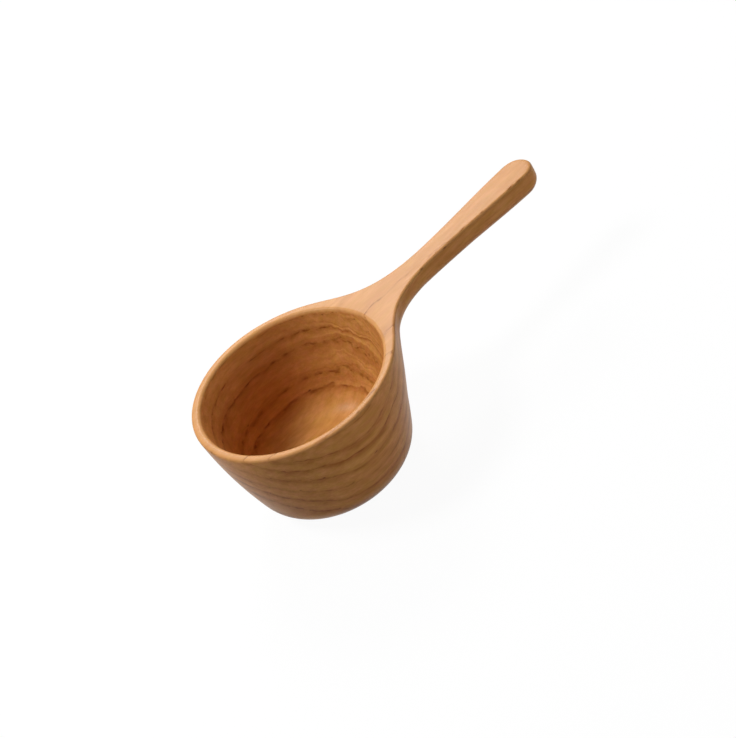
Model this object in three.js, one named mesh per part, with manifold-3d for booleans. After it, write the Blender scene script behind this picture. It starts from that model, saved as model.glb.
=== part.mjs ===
import Module from 'manifold-3d';
import * as THREE from 'three';
import { mergeVertices } from 'three/addons/utils/BufferGeometryUtils.js';

// A wooden coffee measuring spoon: a round cup, and a flat-topped handle level with its rim.
// The handle is tenoned into the cup's shoulder at the neck.
// Millimetres, +Z up. The origin is the middle of the flat underside, and the handle points along +X.

// Cup, outside
const cupHeight = 31.4;
const rimRadius = 26;
const bellyTaper = 1.3; // inward pull on the wall's curve at half height
const footTaper = 7; // how far in from the rim the wall's curve would reach the table
const footRounding = 9.2;

// Cup, inside
const lipWidth = 2.3;
const footWall = 3.6;
const floorThickness = 5;
const hollowRounding = 10;

// Arm: neck and handle in one sweep, each reach counted outward from the rim
const flareAngle = THREE.MathUtils.degToRad(69); // where the neck leaves the rim, to either side
const flareRimPull = 19.8; // how far the outline holds the rim's direction
const flareWaistPull = 25.9; // how far the outline holds the handle's direction
const waistReach = 22.2;
const waistWidth = 6.1;
const palmReach = 52.8;
const palmWidth = 8.5;
const tipLength = 5.3;
const neckThickness = 6;
const palmThickness = 7.1;
const underRounding = 3.4;
const filletReach = 3.8; // under the neck, out along the handle
const filletDepth = 15.8; // under the neck, down the wall

// Rounding of the top edges
const edgeRounding = 0.6; // outside the lip and along the arm
const mouthRounding = 1; // inside the lip

// Joint
const shoulderReach = 9.5;
const tenonShoulder = 1.3;
const mortiseWall = 4.5; // wood left between the mortise and the hollow
const glueGap = 0.3;

// Fineness of the facets
const turnSegments = 64;
const wallSteps = 8;
const cornerSteps = 6;
const edgeSteps = 3;
const flareSteps = 18;
const flareCrowding = 1.25; // over 1 draws the neck's ribs closer together towards the rim
const handleSteps = 6;
const tipSteps = 6;
const tipLastAngle = THREE.MathUtils.degToRad(80); // the tip ends in a small flat

// Places that follow from the sizes
const edge = Math.min(edgeRounding, lipWidth / 2);
const edgeHeight = cupHeight - edge;
const mouthEdge = Math.min(mouthRounding, lipWidth - edge);
const mouthHeight = cupHeight - mouthEdge;
const waistX = rimRadius + waistReach;
const palmX = rimRadius + palmReach;
const tipX = palmX + tipLength;
const shoulderX = rimRadius + shoulderReach;
const tenonRootX = shoulderX + glueGap + tenonShoulder;
const mortiseEndX = rimRadius - lipWidth + mortiseWall;
const quarter = Math.PI / 2;

const wasm = await Module();
wasm.setup();

// Turns a closed geometry into a solid that can be joined and cut
function toSolid(geometry) {
  geometry.deleteAttribute('normal');
  geometry.deleteAttribute('uv');
  const merged = mergeVertices(geometry);
  const corners = merged.index.array;
  const triangles = [];
  for (let i = 0; i < corners.length; i += 3) {
    const [a, b, c] = corners.slice(i, i + 3);
    if (a !== b && b !== c && c !== a) triangles.push(a, b, c);
  }
  return new wasm.Manifold(new wasm.Mesh({
    numProp: 3,
    vertProperties: merged.attributes.position.array,
    triVerts: Uint32Array.from(triangles),
  }));
}

function toGeometry(solid) {
  const mesh = solid.getMesh();
  const geometry = new THREE.BufferGeometry();
  geometry.setAttribute('position', new THREE.BufferAttribute(mesh.vertProperties, mesh.numProp));
  geometry.setIndex(new THREE.BufferAttribute(mesh.triVerts, 1));
  geometry.computeVertexNormals();
  return geometry;
}

function box(low, high) {
  const size = high.clone().sub(low);
  const middle = low.clone().add(high).multiplyScalar(0.5);
  return toSolid(new THREE.BoxGeometry(...size).translate(...middle));
}

function turned(profile) {
  return toSolid(new THREE.LatheGeometry(profile, turnSegments).rotateX(quarter));
}

// A solid through ribs of equal count, each the same on both sides, up the right side and down the left.
// Rungs from side to side close its two ends.
function loft(ribs) {
  const count = ribs[0].length;
  const last = (ribs.length - 1) * count;
  const index = [];
  for (let row = 0; row < last; row += count) {
    for (let i = 0; i < count; i += 1) {
      const next = (i + 1) % count;
      index.push(row + i, row + next, row + count + i);
      index.push(row + next, row + count + next, row + count + i);
    }
  }
  for (let i = 0; i < count / 2 - 1; i += 1) {
    const across = count - 1 - i;
    index.push(i, across - 1, i + 1);
    index.push(i, across, across - 1);
    index.push(last + i, last + i + 1, last + across - 1);
    index.push(last + i, last + across - 1, last + across);
  }
  const geometry = new THREE.BufferGeometry().setFromPoints(ribs.flat());
  geometry.setIndex(index);
  return toSolid(geometry);
}

function arc(x, y, radiusX, radiusY, from, to, steps) {
  return new THREE.EllipseCurve(x, y, radiusX, radiusY, from, to, to < from).getPoints(steps);
}

// Cup: the wall is a parabola from rim to table, and the hollow follows it at the wall's thickness
function wallRadius(z) {
  const up = z / cupHeight;
  const down = 1 - up;
  return rimRadius - 2 * down * up * bellyTaper - down * down * footTaper;
}

function hollowRadius(z) {
  return wallRadius(z) - THREE.MathUtils.lerp(footWall, lipWidth, z / cupHeight);
}

// Half section of a cup, from the middle of its floor up the wall: floor and wall meet in a tangent rounding
function cupProfile(radiusAt, floor, top, wantedRounding) {
  const rounding = Math.min(wantedRounding, top - floor, radiusAt(floor));
  const centreFor = (z) => {
    const step = rounding / 100;
    const slope = (radiusAt(z + step) - radiusAt(z - step)) / (2 * step);
    const length = Math.hypot(1, slope);
    return new THREE.Vector2(radiusAt(z) - rounding / length, z + (rounding * slope) / length);
  };
  let low = floor;
  let high = floor + rounding;
  for (let halving = 0; halving < 40; halving += 1) {
    const middle = (low + high) / 2;
    if (centreFor(middle).y < floor + rounding) low = middle;
    else high = middle;
  }
  const centre = centreFor(low);
  const touchAngle = Math.atan2(low - centre.y, radiusAt(low) - centre.x);
  const corner = arc(centre.x, centre.y, rounding, rounding, -quarter, touchAngle, cornerSteps);
  const wall = [];
  for (let i = 1; i <= wallSteps; i += 1) {
    const z = THREE.MathUtils.lerp(low, top, i / wallSteps);
    wall.push(new THREE.Vector2(radiusAt(z), z));
  }
  return [new THREE.Vector2(0, floor), ...corner, ...wall];
}

function cupSolid() {
  const lipEdge = arc(rimRadius - edge, edgeHeight, edge, edge, 0, quarter, edgeSteps);
  return turned([
    ...cupProfile(wallRadius, 0, edgeHeight, footRounding),
    ...lipEdge.slice(1),
    new THREE.Vector2(0, cupHeight),
  ]);
}

function hollowSolid() {
  const mouth = rimRadius - lipWidth + mouthEdge;
  const lipEdge = arc(mouth, mouthHeight, mouthEdge, mouthEdge, 2 * quarter, quarter, edgeSteps);
  return turned([
    ...cupProfile(hollowRadius, floorThickness, mouthHeight, hollowRounding),
    ...lipEdge.slice(1),
    new THREE.Vector2(mouth, 2 * cupHeight),
    new THREE.Vector2(0, 2 * cupHeight),
  ]);
}

// Arm: its outline seen from above, from the rim out to the tip, with the direction inward from each point
function outlinePoints(curve, steps, crowding) {
  const points = [];
  for (let i = 1; i <= steps; i += 1) {
    const along = (i / steps) ** crowding;
    const heading = curve.getTangent(along);
    points.push({ at: curve.getPoint(along), inward: new THREE.Vector2(heading.y, -heading.x) });
  }
  return points;
}

function armOutline() {
  const leave = new THREE.Vector2(Math.cos(flareAngle), Math.sin(flareAngle)).multiplyScalar(rimRadius);
  const alongRim = new THREE.Vector2(Math.sin(flareAngle), -Math.cos(flareAngle));
  const waist = new THREE.Vector2(waistX, waistWidth / 2);
  const palm = new THREE.Vector2(palmX, palmWidth / 2);
  const ease = (palmX - waistX) / 3;
  const flare = new THREE.CubicBezierCurve(
    leave,
    leave.clone().addScaledVector(alongRim, flareRimPull),
    new THREE.Vector2(waistX - flareWaistPull, waist.y),
    waist,
  );
  const handle = new THREE.CubicBezierCurve(
    waist,
    new THREE.Vector2(waistX + ease, waist.y),
    new THREE.Vector2(palmX - ease, palm.y),
    palm,
  );
  const tip = new THREE.EllipseCurve(palmX, 0, tipLength, palm.y, quarter, quarter - tipLastAngle, true);
  return [
    ...outlinePoints(flare, flareSteps, flareCrowding),
    ...outlinePoints(handle, handleSteps, 1),
    ...outlinePoints(tip, tipSteps, 1),
  ];
}

// X of the cup's wall on the handle's side
function wallX(y, z) {
  return Math.sqrt(wallRadius(z) ** 2 - y ** 2);
}

function armThickness(x) {
  return THREE.MathUtils.mapLinear(x, shoulderX, palmX, neckThickness, palmThickness);
}

// How much of a quarter round is left at a distance from its start: 1 there, 0 once it has run out
function quarterRound(distance, radius) {
  const left = 1 - THREE.MathUtils.clamp(distance / radius, 0, 1);
  return 1 - Math.sqrt(1 - left * left);
}

// Rib across the arm: flat on top. Near the cup it is bent like the wall and rounder below.
function armRib({ at, inward }) {
  const rimX = wallX(at.y, cupHeight);
  const reach = at.x - rimX;
  const bend = 1 - THREE.MathUtils.smoothstep(reach, 0, waistReach);
  const merge = quarterRound(reach, filletReach);
  const drop = Math.min(filletDepth, cupHeight - footRounding - neckThickness);
  const tipRise = underRounding * quarterRound(tipX - at.x, underRounding);
  const depth = armThickness(at.x) + drop * merge - tipRise;
  const under = Math.min(underRounding, at.y, depth - edge);
  const underWide = THREE.MathUtils.lerp(under, at.y, merge);
  const underHigh = THREE.MathUtils.lerp(under, depth - edge, merge);
  const underZ = cupHeight - depth + underHigh;
  const below = arc(at.y - underWide, underZ, underWide, underHigh, -quarter, 0, cornerSteps);
  const above = arc(0, edgeHeight, edge, edge, 0, quarter, edgeSteps);
  const right = [
    ...below.map(({ x: y, y: z }) => new THREE.Vector3(at.x + bend * (wallX(y, z) - rimX), y, z)),
    ...above.map(({ x: out, y: z }) => {
      const inset = inward.clone().multiplyScalar(edge - out).add(at);
      return new THREE.Vector3(inset.x, inset.y, z);
    }),
  ];
  const left = right.map(({ x, y, z }) => new THREE.Vector3(x, -y, z)).reverse();
  return [...right, ...left];
}

// The inner end lies in the middle of the lip's width, so that arm and cup join as one
function armSolid(outline) {
  const ribs = outline.map(armRib);
  const sunk = ribs[0].map(({ x, y, z }) => new THREE.Vector3(x - lipWidth / 2, y, z));
  return loft([sunk, ...ribs]);
}

// Half width of the arm at some X, on the straight facet between two ribs
function halfWidthAt(outline, x) {
  const after = outline.findIndex(({ at }) => at.x >= x);
  const [a, b] = [outline[after - 1].at, outline[after].at];
  return THREE.MathUtils.mapLinear(x, a.x, b.x, a.y, b.y);
}

// A slab across the whole spoon, to keep what lies between two places along X
function slab(fromX, toX) {
  return box(
    new THREE.Vector3(fromX, -2 * rimRadius, -cupHeight),
    new THREE.Vector3(toX, 2 * rimRadius, 2 * cupHeight),
  );
}

// The tenon, or the mortise when it is grown by the glue gap
function tenonSolid(outline, growth) {
  const halfWidth = halfWidthAt(outline, tenonRootX) - tenonShoulder + growth;
  const low = cupHeight - neckThickness + tenonShoulder - growth;
  const high = cupHeight - tenonShoulder + growth;
  return box(
    new THREE.Vector3(mortiseEndX + glueGap - growth, -halfWidth, low),
    new THREE.Vector3(tenonRootX, halfWidth, high),
  );
}

const outline = armOutline();
const arm = armSolid(outline);

const bowlSolid = cupSolid()
  .add(arm.intersect(slab(0, shoulderX)))
  .subtract(hollowSolid())
  .subtract(tenonSolid(outline, glueGap));

const handleSolid = arm
  .intersect(slab(shoulderX + glueGap, 2 * tipX))
  .add(tenonSolid(outline, 0));

function piece(name, solid) {
  const wood = new THREE.MeshStandardMaterial({ color: 0xc78849, roughness: 0.45, metalness: 0 });
  const mesh = new THREE.Mesh(toGeometry(solid), wood);
  mesh.name = name;
  return mesh;
}

const spoon = new THREE.Group();
spoon.add(piece('bowl', bowlSolid), piece('handle', handleSolid));

export default spoon;
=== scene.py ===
import math

import bmesh
import bpy
import numpy as np
from mathutils import Matrix, Vector


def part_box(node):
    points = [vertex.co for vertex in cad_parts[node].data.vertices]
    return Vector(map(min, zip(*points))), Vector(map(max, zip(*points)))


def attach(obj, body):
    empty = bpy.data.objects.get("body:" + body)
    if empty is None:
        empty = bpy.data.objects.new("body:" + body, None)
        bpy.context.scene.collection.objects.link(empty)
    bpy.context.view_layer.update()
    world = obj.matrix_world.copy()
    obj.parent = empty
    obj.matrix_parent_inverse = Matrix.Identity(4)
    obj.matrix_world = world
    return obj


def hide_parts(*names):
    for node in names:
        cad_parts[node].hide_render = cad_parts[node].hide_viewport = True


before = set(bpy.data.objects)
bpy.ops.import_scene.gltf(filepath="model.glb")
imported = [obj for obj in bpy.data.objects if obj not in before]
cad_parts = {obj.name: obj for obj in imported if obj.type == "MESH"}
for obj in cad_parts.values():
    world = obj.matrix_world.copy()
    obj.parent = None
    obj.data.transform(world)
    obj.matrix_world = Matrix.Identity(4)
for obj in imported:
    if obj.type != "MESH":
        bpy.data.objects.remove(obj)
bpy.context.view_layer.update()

# A wooden coffee measuring spoon: a turned cup with a flat-topped handle level with its rim.
# The cup stands on z = 0 and the handle points along +X. Sizes are in millimetres until a mesh is made.
MM = 0.001

# Sizes that the frame gives
CUP_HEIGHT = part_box("bowl")[1].z / MM
SHOULDER_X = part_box("bowl")[1].x / MM
TIP_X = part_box("handle")[1].x / MM

# Cup
RIM_RADIUS = 26.0
BELLY_TAPER = 1.3
FOOT_TAPER = 7.0
FOOT_ROUNDING = 9.2
LIP_WIDTH = 2.3
FOOT_WALL = 3.6
FLOOR_THICKNESS = 5.0
HOLLOW_ROUNDING = 10.0

# Arm: neck and handle
FLARE_ANGLE = math.radians(69)
FLARE_RIM_PULL = 19.8
FLARE_WAIST_PULL = 25.9
WAIST_REACH = 22.2
WAIST_WIDTH = 6.1
PALM_REACH = 52.8
PALM_WIDTH = 8.5
NECK_THICKNESS = 6.0
PALM_THICKNESS = 7.1
UNDER_ROUNDING = 3.4
FILLET_REACH = 3.8
FILLET_DEPTH = 15.8
EDGE_ROUNDING = 0.6
MOUTH_ROUNDING = 1.0
TIP_CROWN = 0.4

# Tenon joint inside the neck
TENON_SHOULDER = 1.3
MORTISE_WALL = 4.5
GLUE_GAP = 0.3

# Meshes: steps along each stretch, the spread of the lines round the neck, the seam and the weld
EDGE_STEPS = 6
WALL_STEPS = 16
CORNER_STEPS = 16
FLOOR_STEPS = 10
BACK_STEPS = 56
SPREAD_STEPS = 10
SIDE_STEPS = 30
FILLET_STEPS = 16
NECK_STEPS = 8
HANDLE_STEPS = 60
TIP_STEPS = 16
ACROSS_STEPS = 6
LIP_STEPS = 3
FINE = 400
SLOPE_PARTS = 100
HALVINGS = 40
SPREAD_ANGLE = math.radians(88)
SEAM_STRIP = 0.1
SEAM_CLEARANCE = 0.8
WELD = 0.001
SHARP_ANGLE = math.radians(40)

# Places that follow from the sizes
EDGE_HEIGHT = CUP_HEIGHT - EDGE_ROUNDING
MOUTH_HEIGHT = CUP_HEIGHT - MOUTH_ROUNDING
WAIST_X = RIM_RADIUS + WAIST_REACH
PALM_X = RIM_RADIUS + PALM_REACH
TENON_END_X = RIM_RADIUS - LIP_WIDTH + MORTISE_WALL + GLUE_GAP
BOWL_RIBS = FILLET_STEPS + 1 + NECK_STEPS
FRONT_STEPS = SPREAD_STEPS + BOWL_RIBS + 1 + ACROSS_STEPS
RIB_STEPS = SIDE_STEPS + FRONT_STEPS


def mix(a, b, share):
    return a + (b - a) * share


class Surface:
    """Grids of points for the +Y half of a piece; to_object mirrors them and welds both halves."""

    def __init__(self):
        self.points = []
        self.quads = []

    def grid(self, rows):
        rows = np.asarray(rows, float)
        height, width = rows.shape[:2]
        first = len(self.points)
        self.points.extend(rows.reshape(-1, 3))
        for row in range(height - 1):
            for column in range(width - 1):
                corner = first + row * width + column
                self.quads.append((corner, corner + 1, corner + width + 1, corner + width))

    def to_object(self, name):
        half = np.array(self.points) * MM
        count = len(half)
        other = [tuple(count + corner for corner in reversed(quad)) for quad in self.quads]
        mesh = bpy.data.meshes.new(name)
        mesh.from_pydata(np.concatenate([half, half * (1, -1, 1)]).tolist(), [], self.quads + other)
        welded = bmesh.new()
        welded.from_mesh(mesh)
        bmesh.ops.remove_doubles(welded, verts=welded.verts, dist=WELD * MM)
        bmesh.ops.dissolve_degenerate(welded, edges=welded.edges, dist=WELD * MM)
        bmesh.ops.recalc_face_normals(welded, faces=welded.faces)
        welded.to_mesh(mesh)
        welded.free()
        mesh.shade_smooth()
        mesh.set_sharp_from_angle(angle=SHARP_ANGLE)
        made = bpy.data.objects.new(name, mesh)
        bpy.context.scene.collection.objects.link(made)
        return made


# Cup: the wall is a parabola from rim to table, and the hollow follows it at the wall's thickness
def wall_radius(z):
    down = 1 - z / CUP_HEIGHT
    return RIM_RADIUS - 2 * down * (1 - down) * BELLY_TAPER - down**2 * FOOT_TAPER


def hollow_radius(z):
    return wall_radius(z) - mix(FOOT_WALL, LIP_WIDTH, z / CUP_HEIGHT)


def arc(centre, radii, start, end, steps):
    angles = np.linspace(start, end, steps + 1)
    return np.stack([centre[0] + radii[0] * np.cos(angles), centre[1] + radii[1] * np.sin(angles)], 1)


def touch_height(radius_at, floor, rounding):
    """Height at which a rounding that stands on the floor touches the wall, and the rounding's centre."""

    def centre_for(z):
        step = rounding / SLOPE_PARTS
        slope = (radius_at(z + step) - radius_at(z - step)) / (2 * step)
        length = math.hypot(1, slope)
        return radius_at(z) - rounding / length, z + rounding * slope / length

    low, high = floor, floor + rounding
    for _ in range(HALVINGS):
        middle = (low + high) / 2
        if centre_for(middle)[1] < floor + rounding:
            low = middle
        else:
            high = middle
    return low, centre_for(low)


def cup_section(radius_at, floor, rounding, top):
    """Half section from the wall at height top, down round the corner and in to the axis."""
    touch, centre = touch_height(radius_at, floor, rounding)
    heights = np.linspace(top, touch, WALL_STEPS + 1)
    wall = np.stack([radius_at(heights), heights], 1)
    touch_angle = math.atan2(touch - centre[1], radius_at(touch) - centre[0])
    corner = arc(centre, (rounding, rounding), touch_angle, -math.pi / 2, CORNER_STEPS)
    flat = np.stack([np.linspace(centre[0], 0, FLOOR_STEPS + 1), np.full(FLOOR_STEPS + 1, floor)], 1)
    return np.concatenate([wall, corner[1:], flat[1:]])


def lip_edge(radius_at, rounding, side):
    """Quarter round from the lip's flat top to the wall, outside the lip (side 1) or inside it (-1)."""
    height = CUP_HEIGHT - rounding
    turn = arc((0, height), (rounding, rounding), math.pi / 2, 0, EDGE_STEPS)
    return np.stack([radius_at(height) + side * (turn[:, 0] - rounding), turn[:, 1]], 1)


def turned(section, angles):
    section = np.asarray(section)[:, None, :]
    angles = np.asarray(angles)[None, :]
    radius = section[..., 0]
    height = np.broadcast_to(section[..., 1], (radius * angles).shape)
    return np.stack([radius * np.cos(angles), radius * np.sin(angles), height], 2)


# Arm: outline from above, from the rim to the palm
def bezier(corners, t):
    a, b, c, d = (np.asarray(corner, float) for corner in corners)
    t = np.asarray(t)[:, None]
    return a * (1 - t) ** 3 + 3 * b * t * (1 - t) ** 2 + 3 * c * t**2 * (1 - t) + d * t**3


def bezier_heading(corners, t):
    a, b, c, d = (np.asarray(corner, float) for corner in corners)
    t = np.asarray(t)[:, None]
    slope = (b - a) * (1 - t) ** 2 + 2 * (c - b) * t * (1 - t) + (d - c) * t**2
    return slope / np.linalg.norm(slope, axis=1, keepdims=True)


def flare_corners():
    cos, sin = math.cos(FLARE_ANGLE), math.sin(FLARE_ANGLE)
    leave = np.array([cos, sin]) * RIM_RADIUS
    waist = np.array([WAIST_X, WAIST_WIDTH / 2])
    return leave, leave + np.array([sin, -cos]) * FLARE_RIM_PULL, waist - (FLARE_WAIST_PULL, 0), waist


def handle_corners():
    waist = np.array([WAIST_X, WAIST_WIDTH / 2])
    palm = np.array([PALM_X, PALM_WIDTH / 2])
    ease = (PALM_X - WAIST_X) / 3
    return waist, waist + (ease, 0), palm - (ease, 0), palm


def outline_stations():
    """Points on the outline where the ribs stand, the bowl's first, and the way inward from each."""
    t = np.linspace(0, 1, FINE + 1)
    flare = flare_corners()
    along = bezier(flare, t)
    reach = along[:, 0] - np.sqrt(RIM_RADIUS**2 - along[:, 1] ** 2)
    turn = np.linspace(0, math.pi / 2, FILLET_STEPS + 1)
    in_fillet = np.interp(FILLET_REACH * (1 - np.cos(turn)), reach, t)
    before = np.interp(SHOULDER_X - SEAM_CLEARANCE, along[:, 0], t)
    after = np.interp(SHOULDER_X + SEAM_CLEARANCE, along[:, 0], t)
    in_neck = np.linspace(in_fillet[-1], before, NECK_STEPS + 1)[1:]
    past_seam = np.linspace(after, 1, HANDLE_STEPS // 2)
    on_flare = np.concatenate([in_fillet, in_neck, past_seam])
    on_handle = np.linspace(0, 1, HANDLE_STEPS // 2 + 1)[1:]
    handle = handle_corners()
    at = np.concatenate([bezier(flare, on_flare), bezier(handle, on_handle)])
    heading = np.concatenate([bezier_heading(flare, on_flare), bezier_heading(handle, on_handle)])
    return at, np.stack([heading[:, 1], -heading[:, 0]], 1)


def wall_x(y, z):
    return np.sqrt(wall_radius(z) ** 2 - y**2)


def arm_thickness(x):
    return np.interp(x, (SHOULDER_X, PALM_X), (NECK_THICKNESS, PALM_THICKNESS))


def evenly(points, steps):
    """The same line with its points spread evenly along it."""
    gaps = np.linalg.norm(np.diff(points, axis=0), axis=1)
    along = np.concatenate([[0], np.cumsum(gaps)])
    wanted = np.linspace(0, along[-1], steps + 1)
    return np.stack([np.interp(wanted, along, points[:, axis]) for axis in range(points.shape[1])], 1)


def arm_rib(at, inward):
    """Half a rib, from the flat top over the rounded edge and down the flank to the underside's middle."""
    rim_x = wall_x(at[1], CUP_HEIGHT)
    reach = at[0] - rim_x
    away = min(max(reach / WAIST_REACH, 0), 1)
    bend = 1 - away**2 * (3 - 2 * away)
    left = 1 - min(max(reach / FILLET_REACH, 0), 1)
    merge = 1 - math.sqrt(1 - left**2)
    depth = arm_thickness(at[0]) + FILLET_DEPTH * merge
    under = min(UNDER_ROUNDING, at[1], depth - EDGE_ROUNDING)
    under_wide = mix(under, at[1], merge)
    under_high = mix(under, depth - EDGE_ROUNDING, merge)
    keel_z = CUP_HEIGHT - depth
    corner = arc((at[1] - under_wide, keel_z + under_high), (under_wide, under_high), 0, -math.pi / 2, FINE)
    section = np.concatenate([[(at[1], EDGE_HEIGHT)], corner, [(0, keel_z)]])
    y, z = evenly(section, RIB_STEPS).T
    flank = np.stack([at[0] + bend * (wall_x(y, z) - rim_x), y, z], 1)
    turn = arc((0, EDGE_HEIGHT), (EDGE_ROUNDING, EDGE_ROUNDING), math.pi / 2, 0, EDGE_STEPS)
    inset = flank[0, :2] + inward * (EDGE_ROUNDING - turn[:, :1])
    return np.concatenate([np.column_stack([inset, turn[:, 1]])[:-1], flank])


def rib_in_plane(ribs, x):
    """A flat rib across the arm, found between its neighbours."""
    y, z = (
        [np.interp(x, ribs[:, place, 0], ribs[:, place, axis]) for place in range(ribs.shape[1])]
        for axis in (1, 2)
    )
    return np.stack([np.full(len(y), x), y, z], 1)


def spread_ribs(first_rib):
    """Lines on the cup's wall that widen from the neck's first rib to a frame round it, the frame first."""
    flank = first_rib[EDGE_STEPS:]
    angle = np.arctan2(flank[:, 1], flank[:, 0])
    frame_low = mix(touch_height(wall_radius, 0, FOOT_ROUNDING)[0], flank[-1, 2], 0.5)
    side_z = np.linspace(EDGE_HEIGHT, frame_low, SIDE_STEPS + 1)
    frame_z = np.concatenate([side_z, np.full(FRONT_STEPS, frame_low)])
    front_angle = np.linspace(SPREAD_ANGLE, 0, FRONT_STEPS + 1)
    frame_angle = np.concatenate([np.full(SIDE_STEPS, SPREAD_ANGLE), front_angle])
    ribs = []
    for step in range(SPREAD_STEPS):
        share = step / SPREAD_STEPS
        line_angle = mix(frame_angle, angle, share)
        line_z = mix(frame_z, flank[:, 2], share)
        radius = wall_radius(line_z)
        line = np.stack([radius * np.cos(line_angle), radius * np.sin(line_angle), line_z], 1)
        edge = turned(lip_edge(wall_radius, EDGE_ROUNDING, 1), line_angle[:1])[:, 0]
        ribs.append(np.concatenate([edge[:-1], line]))
    return np.array(ribs), frame_low


def half_ring(rib):
    """A rib with the flat top beside it, from the middle of the top to the middle of the underside."""
    top = mix(rib[0] * (1, 0, 1), rib[0], np.linspace(0, 1, ACROSS_STEPS + 1)[:, None])
    return np.concatenate([top[:-1], rib])


def tenon_loop(ribs, x, growth):
    """Half the tenon's rectangular outline at some x, with as many points as a half ring has."""
    root = rib_in_plane(ribs, SHOULDER_X + GLUE_GAP + TENON_SHOULDER)
    wide = root[:, 1].max() - TENON_SHOULDER + growth
    high = CUP_HEIGHT - TENON_SHOULDER + growth
    low = CUP_HEIGHT - NECK_THICKNESS + TENON_SHOULDER - growth
    corners = np.array([(x, 0, high), (x, wide, high), (x, wide, low), (x, 0, low)])
    return evenly(corners, ACROSS_STEPS + EDGE_STEPS + RIB_STEPS)


def joint_face(surface, ring, ribs, end_x, growth):
    """Closes a piece at the seam, round a tenon or mortise that reaches from the seam to end_x."""
    start = tenon_loop(ribs, SHOULDER_X, growth)
    end = tenon_loop(ribs, end_x, growth)
    middle = np.broadcast_to((end[0] + end[-1]) / 2, end.shape)
    surface.grid([ring, start, end, middle])


def make_bowl(ribs, seam_rib):
    surface = Surface()
    strip_rib = rib_in_plane(ribs, SHOULDER_X - SEAM_STRIP)
    spread, frame_low = spread_ribs(ribs[0])
    outside = np.concatenate([spread, ribs[:BOWL_RIBS], [strip_rib, seam_rib]])
    surface.grid(outside)

    back = np.linspace(math.pi, SPREAD_ANGLE, BACK_STEPS + 1)
    front = np.linspace(SPREAD_ANGLE, 0, FRONT_STEPS + 1)
    around = np.concatenate([back, front[1:]])
    outer_edge = lip_edge(wall_radius, EDGE_ROUNDING, 1)
    inner_edge = lip_edge(hollow_radius, MOUTH_ROUNDING, -1)
    side_z = np.linspace(EDGE_HEIGHT, frame_low, SIDE_STEPS + 1)[1:]
    side = np.stack([wall_radius(side_z), side_z], 1)
    surface.grid(turned(np.concatenate([outer_edge, side]), back))
    surface.grid(turned(cup_section(wall_radius, 0, FOOT_ROUNDING, frame_low), around))
    hollow = cup_section(hollow_radius, FLOOR_THICKNESS, HOLLOW_ROUNDING, MOUTH_HEIGHT)
    surface.grid(turned(np.concatenate([inner_edge[:-1], hollow]), around))

    lip = np.linspace(0, 1, LIP_STEPS + 1)[:, None, None]
    surface.grid(mix(turned(outer_edge[:1], back), turned(inner_edge[:1], back), lip))
    seam_ring = half_ring(seam_rib)
    neck_edge = np.concatenate([outside[:, 0], seam_ring[ACROSS_STEPS - 1 :: -1]])
    surface.grid(mix(neck_edge[None], turned(inner_edge[:1], front), lip))
    joint_face(surface, seam_ring, ribs, TENON_END_X - GLUE_GAP, GLUE_GAP)
    return surface.to_object("spoon_bowl")


def make_handle(ribs, seam_rib):
    surface = Surface()
    strip_rib = rib_in_plane(ribs, SHOULDER_X + SEAM_STRIP)
    rings = [half_ring(rib) for rib in (seam_rib, strip_rib, *ribs[BOWL_RIBS:])]
    palm = rings[-1]
    length = TIP_X - PALM_X
    from_middle = (palm[:, 2] - mix(palm[0, 2], palm[-1, 2], 0.5)) / (palm[0, 2] - palm[-1, 2]) * 2
    for turn in np.linspace(0, math.pi / 2, TIP_STEPS + 1)[1:]:
        crowned = length - TIP_CROWN * (from_middle * math.sin(turn)) ** 2
        out = palm[:, 1] / palm[:, 1].max() * math.sin(turn) * crowned
        rings.append(np.stack([PALM_X + out, palm[:, 1] * math.cos(turn), palm[:, 2]], 1))
    surface.grid(rings)
    joint_face(surface, rings[0], ribs, TENON_END_X, 0)
    return surface.to_object("spoon_handle")


def make_spoon():
    at, inward = outline_stations()
    ribs = np.array([arm_rib(*station) for station in zip(at, inward)])
    seam_rib = rib_in_plane(ribs, SHOULDER_X)
    return make_bowl(ribs, seam_rib), make_handle(ribs, seam_rib)


# Wood: growth rings about a pith that runs along the handle, behind and below the cup
PITH_Y = 19.3
PITH_Z = -26.8
PITH_TURN = 0.038

# Distance of each ring's edge from the pith, and how dark the edge is
RINGS = (
    (24.0, 0.5),
    (30.0, 0.5),
    (38.3, 0.9),
    (41.3, 1.0),
    (49.2, 1.0),
    (53.3, 0.95),
    (57.2, 0.65),
    (61.6, 0.85),
    (65.6, 1.0),
    (68.5, 1.0),
    (72.5, 0.8),
    (77.0, 0.8),
)

# Strengths across a ring, from one edge to the next, and across the line whose middle is at an edge
BAND_STOPS = ((0.0, 0.8), (0.1, 0.42), (0.28, 0.08), (0.42, 0.0), (0.62, 0.2), (0.85, 0.6), (1.0, 0.9))
PORE_STOPS = ((0.0, 1.0), (0.12, 1.0), (0.18, 0.0), (0.93, 0.0), (0.97, 1.0))
LINE_STOPS = ((0.36, 0.0), (0.44, 0.3), (0.48, 0.8), (0.5, 1.0), (0.53, 0.75), (0.58, 0.25), (0.64, 0.0))
LINE_MIDDLE = 0.5

# Colours, and tints that darken them
LIGHT_WOOD = (0.65, 0.306, 0.115)
RED_WOOD = (0.57, 0.233, 0.077)
GOLD_WOOD = (0.78, 0.425, 0.155)
# Less saturated tone that is mixed into the flat top as a painted sheen
TOP_SHEEN_TONE = (0.445, 0.245, 0.112)
OLIVE_TINT = (0.90, 0.98, 0.68)
BAND_TINT = (0.66, 0.52, 0.36)
LINE_TINT = (0.50, 0.37, 0.26)
PORE_TINT = (0.25, 0.17, 0.12)
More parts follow.
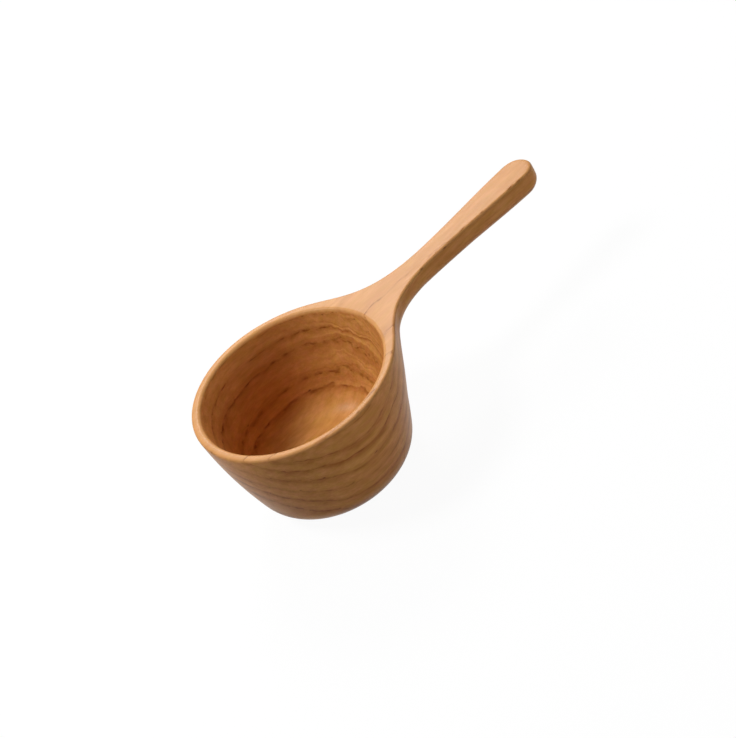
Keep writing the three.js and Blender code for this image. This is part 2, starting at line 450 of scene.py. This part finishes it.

# Stretches over which the wood changes: heights, distances from the pith and from a figured patch near
# the neck, and the way a surface faces, from -1 on the wall of the hollow to 1 on the outside of the cup.
# The height stretch at the top carries a painted sheen, and the hollow's facing stretch a painted shade
# colour, paler and less red.
CRISP_HEIGHT = (25, 31)
TOP_SHEEN_HEIGHT = (30.5, 31.3)
HEART_REACH = (34, 38)
FIGURE_PLACE = (22, 5, 20)
FIGURE_REACH = (5, 17)
HOLLOW_SHADE_FACING = (-0.6, 0)
OUTSIDE_FACING = (0, 0.6)

# Strengths at the two ends of such a stretch
CRISP_BAND = (1.0, 0.35)
CRISP_LINE = (1.0, 2.5)
HOLLOW_SHADE_BAND = (0.75, 1.0)
HOLLOW_SHADE_RED = (0.5, 0.9)
OUTSIDE_LINE = (1.1, 0.8)
TOP_SHEEN_SHARE = (0.0, 0.45)
HEART_GOLD = (0.45, 0.0)
FIGURE_SHARE = (1.0, 0.0)

# Patches in which the wood varies: their lengths along X, Y and Z, and the values that they vary between
SWIRL = ((7, 5, 5), (-1.6, 1.6))
BAND_CLOUD = ((18, 6, 6), (0.35, 1.2))
LINE_BREAKS = ((4.5, 1.6, 1.6), (-0.45, 1.1))
FIBRE = ((9, 0.22, 0.22), (0, 1))
STREAK = ((12, 1.2, 1.2), (0, 1))
CLOUD = ((26, 9, 9), (0, 1))
STAIN = ((8, 2, 2), (0.0, 0.42))
FLECK = ((2.2, 0.6, 0.6), (0.0, 0.3))
OLIVE = ((5, 1.5, 1.5), (0, 1))

# How far the rings wander, over patches of three lengths
WANDER = (((45, 14, 14), 0.6), ((9, 3, 3), 0.35), ((2.5, 0.8, 0.8), 0.12))

# Fine lines along the rings: their width, the noise and the strength of a golden and of a dark one, and
# how much of the dark ones shows outside and inside the figured patch
FINE_LINE = 1.5
GOLD_NOISE = (0.5, 0.7)
GOLD_SHARE = (0.1, 0.75)
DARK_NOISE = (0.45, 0.3)
DARK_SHARE = (0.0, 0.6)
FIGURE_DARK = (0.3, 0.7)

# Pores: the room for one along X, Y and Z, the reach of its core and edge in shares of that room, how
# dark it is at both, and the share of rooms that hold one
PORE_CELL = (4.5, 1.6, 1.6)
PORE_REACH = (0.05, 0.2)
PORE_DARK = (0.75, 0.0)
PORE_SHARE = 0.5

# Share of the streaks in the redness, whose rest is clouds, and how far the fibres darken the wood
STREAK_SHARE = 0.4
FIBRE_DARK = (0.0, 0.2)

# Finish: roughness between the fibres and on them, relief of the fibres, lines and pores, and gloss
ROUGHNESS = (0.27, 0.35)
FIBRE_RELIEF = -0.5
RELIEF_STRENGTH = 0.07
RELIEF_DEPTH = 0.04
GLOSS = 0.05

# The range that a noise mostly keeps to
NOISE_RANGE = (0.3, 0.7)


class Nodes:
    """Adds nodes to a tree and joins them; a value is a number, a tuple or another node's output."""

    def __init__(self, tree):
        self.tree = tree
        tree.nodes.clear()

    def add(self, kind, inputs, **settings):
        made = self.tree.nodes.new(kind)
        for name, value in settings.items():
            setattr(made, name, value)
        for socket, value in inputs.items():
            if isinstance(value, bpy.types.NodeSocket):
                self.tree.links.new(value, made.inputs[socket])
            else:
                made.inputs[socket].default_value = value
        return made

    def math(self, operation, *values):
        return self.add("ShaderNodeMath", dict(enumerate(values)), operation=operation).outputs[0]

    def product(self, first, *others):
        for other in others:
            first = self.math("MULTIPLY", first, other)
        return first

    def vector(self, operation, *values):
        return self.add("ShaderNodeVectorMath", dict(enumerate(values)), operation=operation).outputs[0]

    def measure(self, operation, *values):
        """A number that is worked out from vectors."""
        made = self.add("ShaderNodeVectorMath", dict(enumerate(values)), operation=operation)
        return made.outputs["Value"]

    def noise(self, place, lengths, out, detail=2.0):
        """Cloudy values whose patches have the given lengths along X, Y and Z."""
        scaled = self.vector("DIVIDE", place, lengths)
        made = self.add("ShaderNodeTexNoise", {"Vector": scaled, "Scale": 1.0, "Detail": detail})
        return self.between(made.outputs["Fac"], NOISE_RANGE, out)

    def between(self, value, low_high, out):
        """The value, taken from one range to another and kept within it."""
        ends = zip(("From Min", "From Max", "To Min", "To Max"), (*low_high, *out))
        return self.add("ShaderNodeMapRange", {"Value": value, **dict(ends)}).outputs["Result"]

    def ramp(self, value, stops):
        made = self.add("ShaderNodeValToRGB", {"Fac": value})
        elements = made.color_ramp.elements
        while len(elements) < len(stops):
            elements.new(1.0)
        for element, (place, grey) in zip(elements, stops):
            element.position = place
            element.color = (grey, grey, grey, 1)
        return made.outputs["Color"]

    def numbered(self, value, edges):
        """How many of the edges lie below a value, with the part of the way to the next one."""
        share = self.between(value, (edges[0], edges[-1]), (0, 1))
        made = self.add("ShaderNodeFloatCurve", {"Value": share})
        line = made.mapping.curves[0].points
        for number, edge in enumerate(edges[1:-1], 1):
            line.new((edge - edges[0]) / (edges[-1] - edges[0]), number / (len(edges) - 1))
        for point in line:
            point.handle_type = "VECTOR"
        made.mapping.update()
        return self.math("MULTIPLY", made.outputs[0], len(edges) - 1)

    def colour(self, share, first, second, blend="MIX"):
        first, second = ((*end, 1) if isinstance(end, tuple) else end for end in (first, second))
        ends = {0: share, 6: first, 7: second}
        return self.add("ShaderNodeMix", ends, data_type="RGBA", blend_type=blend).outputs[2]


def ring_distance(nodes, place, figure):
    """Distance from the pith, pushed about so that the rings wander, most of all in the figured patch."""
    turn = {"Vector": place, "Rotation": (0, 0, PITH_TURN)}
    turned_place = nodes.add("ShaderNodeMapping", turn).outputs[0]
    across = nodes.vector("MULTIPLY_ADD", turned_place, (0, 1, 1), (0, -PITH_Y, -PITH_Z))
    ring = nodes.measure("LENGTH", across)
    for lengths, push in WANDER:
        ring = nodes.math("ADD", ring, nodes.noise(place, lengths, (-push, push), 1.0))
    return nodes.math("MULTIPLY_ADD", nodes.noise(place, *SWIRL), figure, ring)


def ring_marks(nodes, place, number, height, facing):
    """Each ring's band, which darkens towards the ring's edge, and the thin broken line at the edge; the
    band is weaker on the hollow's wall, a painted change that stands for the paler shade there.
    """
    edge = nodes.math("ROUND", number)
    last = len(RINGS) - 1
    stops = [(index / last, darkness) for index, (_, darkness) in enumerate(RINGS)]
    own = nodes.ramp(nodes.math("DIVIDE", edge, last), stops)
    # Painted shade colour: the band is weaker on the hollow's wall
    band = nodes.product(
        nodes.ramp(nodes.math("FRACT", number), BAND_STOPS),
        nodes.between(height, CRISP_HEIGHT, CRISP_BAND),
        nodes.between(facing, HOLLOW_SHADE_FACING, HOLLOW_SHADE_BAND),
        nodes.noise(place, *BAND_CLOUD),
        own,
    )
    sharpness = nodes.between(height, CRISP_HEIGHT, CRISP_LINE)
    beside = nodes.product(nodes.math("SUBTRACT", number, edge), sharpness)
    line = nodes.product(
        nodes.ramp(nodes.math("ADD", beside, LINE_MIDDLE), LINE_STOPS),
        nodes.math("MAXIMUM", nodes.noise(place, *LINE_BREAKS), 0.0),
        nodes.between(facing, OUTSIDE_FACING, OUTSIDE_LINE),
        own,
    )
    return band, line


def ring_pores(nodes, place, number):
    """Pores along the ring edges, drawn out along the grain."""
    room = nodes.vector("DIVIDE", place, PORE_CELL)
    cells = nodes.add("ShaderNodeTexVoronoi", {"Vector": room, "Scale": 1.0})
    chance = nodes.add("ShaderNodeSeparateColor", {"Color": cells.outputs["Color"]}).outputs["Red"]
    return nodes.product(
        nodes.between(cells.outputs["Distance"], PORE_REACH, PORE_DARK),
        nodes.math("LESS_THAN", chance, PORE_SHARE),
        nodes.ramp(nodes.math("FRACT", number), PORE_STOPS),
    )


def plain_wood(nodes, place, ring, figure, facing):
    """Light wood, clouded and streaked with red, golden near the pith and in the figured patch; the red is
    cut back on the hollow's wall as painted shade colour, paler and less red.
    """
    cloud = nodes.product(nodes.noise(place, *CLOUD), 1 - STREAK_SHARE)
    red = nodes.math("MULTIPLY_ADD", nodes.noise(place, *STREAK), STREAK_SHARE, cloud)
    # Painted shade colour: less red on the hollow's wall
    red = nodes.product(red, nodes.between(facing, HOLLOW_SHADE_FACING, HOLLOW_SHADE_RED))
    tone = nodes.colour(red, LIGHT_WOOD, RED_WOOD)
    along = {"W": nodes.math("DIVIDE", ring, FINE_LINE), "Scale": 1.0, "Detail": 1.0}
    fine = nodes.add("ShaderNodeTexNoise", along, noise_dimensions="1D").outputs["Fac"]
    golden = nodes.product(nodes.between(fine, GOLD_NOISE, GOLD_SHARE), figure)
    tone = nodes.colour(golden, tone, GOLD_WOOD)
    tone = nodes.colour(nodes.between(ring, HEART_REACH, HEART_GOLD), tone, GOLD_WOOD)
    darker = nodes.between(fine, DARK_NOISE, DARK_SHARE)
    darker = nodes.product(darker, nodes.between(figure, (0, 1), FIGURE_DARK))
    return nodes.colour(darker, tone, BAND_TINT, "MULTIPLY")


def wood_material():
    material = bpy.data.materials.new("wood")
    material.use_nodes = True
    nodes = Nodes(material.node_tree)
    metres = nodes.add("ShaderNodeTexCoord", {}).outputs["Object"]
    place = nodes.add("ShaderNodeVectorMath", {0: metres, "Scale": 1 / MM}, operation="SCALE").outputs[0]
    height = nodes.add("ShaderNodeSeparateXYZ", {"Vector": place}).outputs["Z"]
    normal = nodes.add("ShaderNodeNewGeometry", {}).outputs["Normal"]
    outward = nodes.vector("NORMALIZE", nodes.vector("MULTIPLY", place, (1, 1, 0)))
    facing = nodes.measure("DOT_PRODUCT", normal, outward)
    figure = nodes.between(nodes.measure("DISTANCE", place, FIGURE_PLACE), FIGURE_REACH, FIGURE_SHARE)
    ring = ring_distance(nodes, place, figure)
    number = nodes.numbered(ring, [radius for radius, _ in RINGS])
    band, line = ring_marks(nodes, place, number, height, facing)
    pore = ring_pores(nodes, place, number)
    fibre = nodes.noise(place, *FIBRE)

    tone = plain_wood(nodes, place, ring, figure, facing)
    tone = nodes.colour(nodes.between(fibre, (0, 1), FIBRE_DARK), tone, BAND_TINT, "MULTIPLY")
    tone = nodes.colour(nodes.noise(place, *STAIN), tone, BAND_TINT, "MULTIPLY")
    tone = nodes.colour(nodes.noise(place, *FLECK), tone, BAND_TINT, "MULTIPLY")
    tone = nodes.colour(nodes.noise(place, *OLIVE), tone, OLIVE_TINT, "MULTIPLY")
    tone = nodes.colour(band, tone, BAND_TINT, "MULTIPLY")
    # Painted sheen: the flat top and its roundings are mixed toward a less saturated tone
    tone = nodes.colour(nodes.between(height, TOP_SHEEN_HEIGHT, TOP_SHEEN_SHARE), tone, TOP_SHEEN_TONE)
    tone = nodes.colour(line, tone, LINE_TINT, "MULTIPLY")
    tone = nodes.colour(pore, tone, PORE_TINT, "MULTIPLY")

    rough = nodes.between(fibre, (0, 1), ROUGHNESS)
    relief = nodes.math("SUBTRACT", nodes.product(fibre, FIBRE_RELIEF), nodes.math("ADD", line, pore))
    depth = {"Height": relief, "Strength": RELIEF_STRENGTH, "Distance": RELIEF_DEPTH * MM}
    bump = nodes.add("ShaderNodeBump", depth).outputs[0]
    finish = {"Base Color": tone, "Roughness": rough, "Normal": bump, "Specular IOR Level": GLOSS}
    shader = nodes.add("ShaderNodeBsdfPrincipled", finish)
    nodes.add("ShaderNodeOutputMaterial", {"Surface": shader.outputs["BSDF"]})
    return material


# Stage, in metres. The floor has one grey for the light that it throws back and a paler one where it is
# seen, and FLOOR_WHITE is the share of plain white in what is seen of it.
FLOOR_SIZE = 3.0
FLOOR_TONE = 0.3
FLOOR_PALE = 0.74
FLOOR_WHITE = 0.95
WORLD_LIGHT = 0.15
WHITE = (1, 1, 1, 1)

# Camera, fitted to the photo, with its lens in millimetres
CAMERA_TARGET = Vector((11.648, -16.897, CUP_HEIGHT)) * MM
CAMERA_AZIMUTH = math.radians(-23.034)
CAMERA_ELEVATION = math.radians(37.596)
CAMERA_ROLL = math.radians(28.942)
CAMERA_DISTANCE = 0.49159
CAMERA_LENS = 103.236

# Round lamps that face the cup's foot: name, place, width, watts, and whether they show in a gloss
LAMPS = (
    ("key", (-0.262, 0.212, 0.613), 0.20, 4.5, True),
    ("back", (0.246, 0.441, 0.43), 0.26, 3.35, True),
    ("fill", (0.52, -0.52, 0.13), 0.26, 1.35, False),
    ("side", (-0.52, -0.47, 0.13), 0.26, 0.48, False),
)


def make_camera():
    cos_az, sin_az = math.cos(CAMERA_AZIMUTH), math.sin(CAMERA_AZIMUTH)
    cos_el, sin_el = math.cos(CAMERA_ELEVATION), math.sin(CAMERA_ELEVATION)
    back = Vector((sin_az * cos_el, -cos_az * cos_el, sin_el))
    level = Vector((cos_az, sin_az, 0))
    upright = back.cross(level)
    right = level * math.cos(CAMERA_ROLL) - upright * math.sin(CAMERA_ROLL)
    up = back.cross(right)
    turn = Matrix((right, up, back)).transposed().to_4x4()
    camera = bpy.data.objects.new("camera", bpy.data.cameras.new("camera"))
    camera.data.lens = CAMERA_LENS
    camera.matrix_world = Matrix.Translation(CAMERA_TARGET + back * CAMERA_DISTANCE) @ turn
    bpy.context.scene.collection.objects.link(camera)
    bpy.context.scene.camera = camera


def seen_ray(nodes):
    """1 for a ray that shows the stage, directly or in a gloss, and 0 for one that gathers light."""
    path = nodes.add("ShaderNodeLightPath", {})
    gloss = nodes.math("MAXIMUM", path.outputs["Is Glossy Ray"], path.outputs["Is Transmission Ray"])
    return nodes.math("MAXIMUM", path.outputs["Is Camera Ray"], gloss)


def floor_material():
    material = bpy.data.materials.new("floor")
    material.use_nodes = True
    nodes = Nodes(material.node_tree)
    seen = seen_ray(nodes)
    grey = nodes.between(seen, (0, 1), (FLOOR_TONE, FLOOR_PALE))
    matt = nodes.add("ShaderNodeBsdfDiffuse", {"Color": grey})
    glow = nodes.add("ShaderNodeEmission", {"Color": WHITE, "Strength": 1.0})
    share = nodes.product(seen, FLOOR_WHITE)
    both = nodes.add("ShaderNodeMixShader", {0: share, 1: matt.outputs[0], 2: glow.outputs[0]})
    nodes.add("ShaderNodeOutputMaterial", {"Surface": both.outputs[0]})
    return material


def make_floor():
    mesh = bpy.data.meshes.new("floor")
    half = FLOOR_SIZE / 2
    corners = [(-half, -half, 0), (half, -half, 0), (half, half, 0), (-half, half, 0)]
    mesh.from_pydata(corners, [], [(0, 1, 2, 3)])
    mesh.materials.append(floor_material())
    floor = bpy.data.objects.new("floor", mesh)
    bpy.context.scene.collection.objects.link(floor)


def make_lamp(name, place, width, power, gloss):
    lamp = bpy.data.lights.new(name, "AREA")
    lamp.shape = "DISK"
    lamp.size = width
    lamp.energy = power
    made = bpy.data.objects.new(name, lamp)
    made.location = place
    made.visible_glossy = gloss
    made.rotation_euler = Vector(place).to_track_quat("Z", "Y").to_euler()
    bpy.context.scene.collection.objects.link(made)


def make_world():
    world = bpy.data.worlds.new("studio")
    world.use_nodes = True
    nodes = Nodes(world.node_tree)
    strength = nodes.between(seen_ray(nodes), (0, 1), (WORLD_LIGHT, 1.0))
    sky = nodes.add("ShaderNodeBackground", {"Color": WHITE, "Strength": strength})
    nodes.add("ShaderNodeOutputWorld", {"Surface": sky.outputs[0]})
    bpy.context.scene.world = world


make_camera()
make_floor()
make_world()
for lamp in LAMPS:
    make_lamp(*lamp)

wood = wood_material()
bowl, handle = make_spoon()
for piece, node in ((bowl, "bowl"), (handle, "handle")):
    piece.data.materials.append(wood)
    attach(piece, "root")
    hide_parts(node)

bpy.context.scene.view_settings.view_transform = "Standard"
